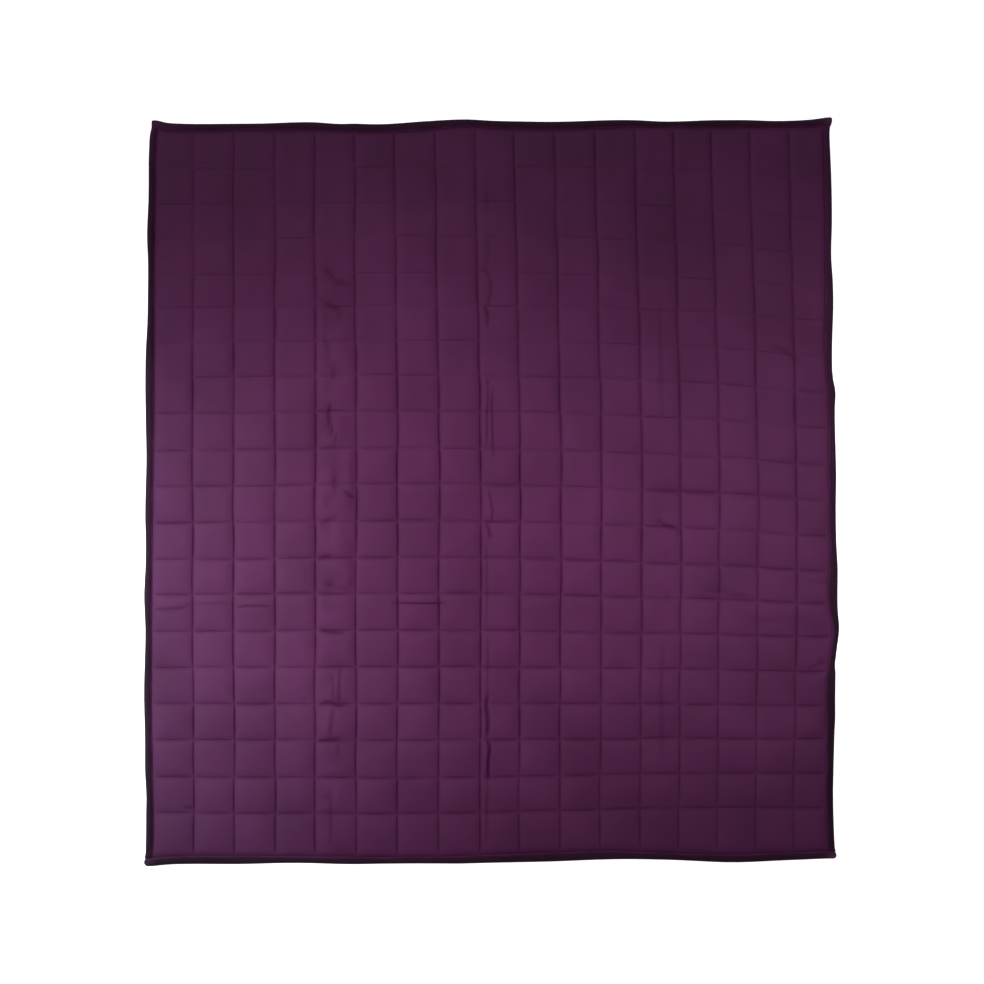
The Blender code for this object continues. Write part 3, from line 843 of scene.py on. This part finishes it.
def stitched_rings(path):
    """Three-sided rings of a thread along a path of points: it lies on the cloth over most of
    each stitch, and dips into it at the needle holes."""
    steps = np.linalg.norm(np.diff(path, axis=0), axis=1)
    along = np.concatenate([[0], np.cumsum(steps)])
    count = round(along[-1] / STITCH)
    at = (STITCH_SHARES + np.arange(count)[:, None]).ravel() / count * along[-1]
    middle = np.stack([np.interp(at, along, path[:, k]) for k in range(3)], axis=1)
    middle[:, 2] += np.tile(STITCH_HEIGHTS, count)
    way = np.gradient(middle[:, :2], axis=0)
    way /= np.linalg.norm(way, axis=1)[:, None]
    side = np.stack([-way[:, 1], way[:, 0], np.zeros(len(way))], axis=1)
    turn = np.radians([90, 210, 330])[:, None]
    return middle[:, None] + THREAD_RADIUS * (
        np.cos(turn) * side[:, None] + np.sin(turn) * np.array([0, 0, 1])
    )


def build_thread(name, paths, material):
    """One piece of all the threads along some paths, each a closed three-sided tube."""
    points, faces, start = [], [], 0
    for path in paths:
        rings = stitched_rings(path)
        count = len(rings)
        ends = [[start, start + 1, start + 2], [start + 3 * count - k for k in (3, 2, 1)]]
        faces += (tube_faces(count, 3) + start).tolist() + ends
        points.append(rings.reshape(-1, 3))
        start += 3 * count
    piece = new_piece(name, np.concatenate(points), faces, material)
    face_outwards(piece)
    return piece


def strip_seam(strip):
    """Path of the stitches that hold a strip: between two points of its section, on the fold
    near its inner edge, and not round its ends."""
    points = np.empty(3 * len(strip.data.vertices), np.float32)
    strip.data.vertices.foreach_get("co", points)
    rings = points.reshape(-1, len(BINDING_SECTION), 3)[8:-8].astype(float)
    return rings[:, 2:4].mean(axis=1)


# Materials

def linear(hex_colour):
    """Linear colour from an sRGB hex value."""
    value = np.array([int(hex_colour[k : k + 2], 16) for k in (1, 3, 5)]) / 255
    value = np.where(value <= 0.04045, value / 12.92, ((value + 0.055) / 1.055) ** 2.4)
    return (*value.tolist(), 1.0)


def node(material, kind, settings=None, **inputs):
    """Adds a node: settings are its properties, and inputs are values or the sockets to link,
    under the socket's name with _ for a space, or _ and its number."""
    made = material.node_tree.nodes.new(kind)
    for key, value in (settings or {}).items():
        setattr(made, key, value)
    for key, value in inputs.items():
        key = int(key[1:]) if key[0] == "_" else key.replace("_", " ")
        if isinstance(value, bpy.types.NodeSocket):
            material.node_tree.links.new(value, made.inputs[key])
        else:
            made.inputs[key].default_value = value
    return made


def object_place(material):
    """Places in the piece's own space, as a socket."""
    return node(material, "ShaderNodeTexCoord").outputs["Object"]


def noise(material, place, scale, detail):
    """Fractal noise at places, as a socket."""
    made = node(material, "ShaderNodeTexNoise", Vector=place, Scale=scale, Detail=detail)
    return made.outputs["Fac"]


def multiply(material, first, second, added=0.0):
    """Product of two values, with a third added to it, as a socket."""
    return node(
        material, "ShaderNodeMath", {"operation": "MULTIPLY_ADD"}, _0=first, _1=second, _2=added
    ).outputs[0]


def smooth_step(material, value, start, end, low, high):
    """What goes smoothly from low to high as a value goes from start to end, as a socket."""
    return node(
        material, "ShaderNodeMapRange", {"interpolation_type": "SMOOTHSTEP"},
        Value=value, From_Min=start, From_Max=end, To_Min=low, To_Max=high,
    ).outputs[0]


def mix(material, share, first, second, blend="MIX"):
    """Colour that goes from the first to the second (or to their blend), as a socket."""
    return node(
        material, "ShaderNodeMix", {"data_type": "RGBA", "blend_type": blend},
        _0=share, _6=first, _7=second,
    ).outputs[2]


def vector_parts(material, name):
    """The three parts of a piece's vector attribute, as sockets."""
    read = node(material, "ShaderNodeAttribute", {"attribute_name": name})
    return node(material, "ShaderNodeSeparateXYZ", Vector=read.outputs["Vector"]).outputs


def new_material(name, roughness, gloss):
    """Material with only its shader and output, and the shader."""
    material = bpy.data.materials.new(name)
    material.use_nodes = True
    shader = material.node_tree.nodes["Principled BSDF"]
    shader.inputs["Roughness"].default_value = roughness
    shader.inputs["Specular IOR Level"].default_value = gloss
    return material, shader


def add_satin(material, light, dark):
    """Colour and height of woven satin, as sockets. The threads are a quarter of a millimetre
    thick, too fine to show, so the weave is drawn as streaks 2 mm wide and 36 mm long that run
    across the blanket. Slow clouds of tone and soft crumples lie over them."""
    place = object_place(material)
    cloud = noise(material, place, 7.0, 3.0)
    along = node(material, "ShaderNodeMapping", Vector=place, Scale=(28.0, 480.0, 28.0))
    streak = noise(material, along.outputs[0], 1.0, 2.0)
    both = multiply(material, streak, 0.25, cloud)
    tone = node(material, "ShaderNodeMapRange", Value=both, From_Min=0.40, From_Max=0.85)
    colour = mix(material, tone.outputs[0], linear(dark), linear(light))
    weave = multiply(material, streak, 0.00006)
    return colour, multiply(material, noise(material, place, 55.0, 4.0), 0.0007, weave)


def add_gathers(material, distance, direction, height):
    """Height with gathers added: ripples about 7 mm apart that stand across a seam and die out
    within 11 mm of it. The direction is the one that the seam runs in."""
    ripple = node(
        material, "ShaderNodeTexWave", {"bands_direction": direction},
        Vector=object_place(material), Scale=44.0, Distortion=4.0, Detail=1.0, Detail_Scale=0.5,
    )
    near = smooth_step(material, distance, 0.0015, 0.011, 0.00012, 0.0)
    return multiply(material, ripple.outputs["Fac"], near, height)


def finish_satin(material, shader, colour, height):
    """Links the colour and the height, in metres, to the shader."""
    material.node_tree.links.new(colour, shader.inputs["Base Color"])
    bump = node(material, "ShaderNodeBump", Strength=1.0, Distance=1.0, Height=height)
    material.node_tree.links.new(bump.outputs[0], shader.inputs["Normal"])


def build_quilt_satin():
    """Aubergine polyester satin: a low, soft gloss over a deep purple, with painted shade, darker
    and redder, where the cloth lies in a seam or crease, and gathered along the seams."""
    material, shader = new_material("quilt_satin", 0.55, 0.04)
    colour, height = add_satin(material, "#59284e", "#4f2345")
    from_column, from_row, dark = vector_parts(material, "seam_away_and_shade")
    # painted shade of seams, creases, the strips' edges and the crumpled hollows turns the colour
    # deep red-purple
    colour = mix(material, dark, colour, (0.36, 0.11, 0.31, 1), "MULTIPLY")
    height = add_gathers(material, from_column, "Y", height)
    height = add_gathers(material, from_row, "X", height)
    finish_satin(material, shader, colour, height)
    return material


def build_binding_satin():
    """The same satin in a darker shade, with painted shade that makes it nearly black in places:
    as the quilt's at its inner edge, dark over the roll with a wavering border, and greyer along
    the outer edge with painted sheen and a little wear. The corners' ears are pale with a painted
    highlight and a little rubbing."""
    material, shader = new_material("binding_satin", 0.55, 0.04)
    satin, height = add_satin(material, "#ffffff", "#e4e4e4")
    across, ear_highlight, dark = vector_parts(material, "strip_place")
    waver = noise(material, object_place(material), 22.0, 2.0)
    across = multiply(material, waver, 0.35, across)
    # painted shade over the roll, on top of the binding's darker cloth
    rolled = smooth_step(material, across, 0.16, 0.50, 0.0, dark)
    colour = mix(material, rolled, linear("#56264a"), linear("#1e0e1b"))
    # painted sheen, with a little wear, greys the outer edge
    outer_sheen_and_wear = smooth_step(material, across, 0.85, 1.20, 0.0, 0.5)
    colour = mix(material, outer_sheen_and_wear, colour, linear("#3b2a36"))
    colour = mix(material, 1.0, colour, satin, "MULTIPLY")
    # painted highlight on the ears, with a little rubbing
    colour = mix(material, ear_highlight, colour, linear("#6b4664"))
    finish_satin(material, shader, colour, height)
    return material


def build_thread_polyester(name, light, dark):
    """Polyester sewing thread of the cloth's own shade, a little glossier than the cloth. Its
    two plies' twist is drawn as bands 2 mm apart, coarser than the real 0.4 mm so that they
    can show."""
    material, shader = new_material(name, 0.42, 0.15)
    place = object_place(material)
    twist = node(
        material, "ShaderNodeTexWave", {"bands_direction": "DIAGONAL"},
        Vector=place, Scale=310.0, Distortion=1.0,
    ).outputs["Fac"]
    tone = multiply(material, twist, noise(material, place, 120.0, 2.0))
    colour = mix(material, tone, linear(dark), linear(light))
    finish_satin(material, shader, colour, multiply(material, twist, 0.00005))
    return material


QUILT_SATIN = build_quilt_satin()
BINDING_SATIN = build_binding_satin()
QUILT_THREAD = build_thread_polyester("quilting_thread_polyester", "#6d3561", "#4a2041")
BINDING_THREAD = build_thread_polyester("binding_thread_polyester", "#54264a", "#36182f")

quilt, column_seams, row_seams = build_quilt(QUILT_SATIN)
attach(quilt, "root")
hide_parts("quilted_body")

strips = {
    "top": build_through_binding("top", BINDING_SATIN),
    "bottom": build_through_binding("bottom", BINDING_SATIN),
    "left": build_side_binding("left", BINDING_SATIN),
    "right": build_side_binding("right", BINDING_SATIN),
}
for side, strip in strips.items():
    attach(strip, "root")
    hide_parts("binding_" + side)


binding_seams = [strip_seam(strip) for strip in strips.values()]
threads = (
    build_thread("quilting_thread_columns", column_seams, QUILT_THREAD),
    build_thread("quilting_thread_rows", row_seams, QUILT_THREAD),
    build_thread("binding_thread", binding_seams, BINDING_THREAD),
)
for thread, slot in zip(threads, ("quilt_cloth", "quilt_cloth", "binding_cloth")):
    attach(thread, "root")


# Floor, light and camera

def build_floor():
    """Pale paper floor, far larger than the blanket."""
    half = 40.0
    under = -GAP
    points = np.array([(-half, -half, under), (half, -half, under),
                       (half, half, under), (-half, half, under)])
    material, shader = new_material("studio_paper", 0.9, 0.5)
    shader.inputs["Base Color"].default_value = linear("#f2f2f2")
    shader.inputs["Emission Color"].default_value = (1, 1, 1, 1)
    shader.inputs["Emission Strength"].default_value = 0.8
    floor = new_piece("floor", points, [(0, 1, 2, 3)], material)


def aim(obj, at):
    """Points an object's -Z axis at a place."""
    way = Vector(at) - obj.location
    obj.rotation_euler = way.to_track_quat("-Z", "Y").to_euler()


def add_light(name, kind, place, at, power, colour, **settings):
    """One studio light, aimed at a place."""
    light = bpy.data.lights.new(name, kind)
    light.energy = power
    light.color = colour
    for key, value in settings.items():
        setattr(light, key, value)
    obj = bpy.data.objects.new(name, light)
    obj.location = place
    bpy.context.scene.collection.objects.link(obj)
    aim(obj, at)


LIGHT_POWERS = {
    "world": 0.10, "fill": 1.30, "right_pool": 800, "middle_pool": 1097, "left_pool": 1851,
}
# Each light's place, what it is aimed at and its colour, and each pool's cone in radians
FILL = ((-2.8, 2.8, 8.0), (0, 0, 0), (0.911, 0.963, 1.0))
POOLS = {
    "right_pool": ((1.1, 1.2, 6.3), (0.70, -0.06, 0), (1, 0.97, 1.0), 0.207),
    "middle_pool": ((-2.2, 1.2, 5.8), (-0.17, -0.09, 0), (1, 0.849, 0.968), 0.238),
    "left_pool": ((-3.4, 1.1, 4.6), (-0.98, -0.31, 0), (0.618, 1.0, 0.823), 0.28),
}


def build_studio():
    """Soft fill from above, a little left and toward the top edge, and three soft pools of
    light side by side across the middle. The right one comes from a little right of where it
    falls, the others from further left, and all three from nearer the top edge."""
    world = bpy.data.worlds.new("studio")
    world.use_nodes = True
    world.node_tree.nodes["Background"].inputs["Color"].default_value = (1, 1.05, 1, 1)
    world.node_tree.nodes["Background"].inputs["Strength"].default_value = LIGHT_POWERS["world"]
    bpy.context.scene.world = world
    place, at, colour = FILL
    add_light("fill", "SUN", place, at, LIGHT_POWERS["fill"], colour, angle=0.5)
    for name, (place, at, colour, cone) in POOLS.items():
        add_light(
            name, "SPOT", place, at, LIGHT_POWERS[name], colour,
            spot_size=cone, spot_blend=1.0, shadow_soft_size=0.3,
        )


PICTURE_SIDE = 984  # pixels
PIXEL = 2.054 * MM  # what one of them shows of the floor


def build_camera():
    """Camera straight above, turned so that +Y is up in the picture, and so high that the
    picture shows what the photographed one does."""
    data = bpy.data.cameras.new("camera")
    data.sensor_width = 36
    data.lens = 100
    camera = bpy.data.objects.new("camera", data)
    high = PICTURE_SIDE * PIXEL * data.lens / data.sensor_width
    camera.location = (SHIFT[0] + PIXEL / 2, SHIFT[1] - PIXEL / 2, high)
    bpy.context.scene.collection.objects.link(camera)
    bpy.context.scene.camera = camera
    bpy.context.scene.view_settings.view_transform = "Standard"


build_floor()
build_studio()
build_camera()
